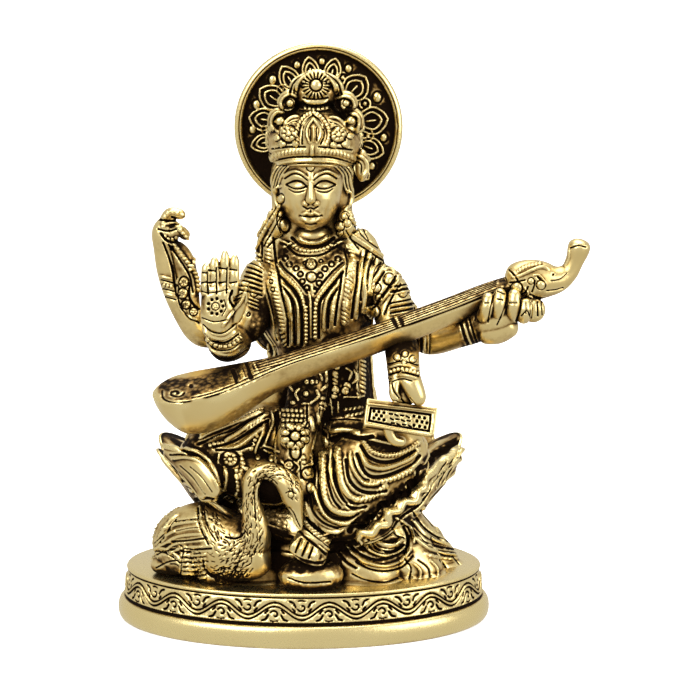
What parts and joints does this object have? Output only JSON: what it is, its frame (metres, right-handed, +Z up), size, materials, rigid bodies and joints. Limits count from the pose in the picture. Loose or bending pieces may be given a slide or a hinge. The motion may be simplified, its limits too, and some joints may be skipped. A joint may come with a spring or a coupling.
{
  "type": "seated four-armed figure with a veena",
  "caption": "Small cast brass figure of a seated lady with a veena, book, beads and halo, on a lotus with a swan, over an oval plinth with a vine border.",
  "frame": {"origin": "middle of the oval plinth's flat underside", "axes": "+Z up from the plinth to the halo, -Y the way the figure faces, +X towards the veena's carved head"},
  "size_m": [0.1458, 0.0796, 0.18],
  "materials": {
    "brass": "antiqued, bright on the ridges and dark brown in the recesses"
  },
  "bodies": {
    "root": {"saraswati_figure": "brass"}
  },
  "joints": []
}
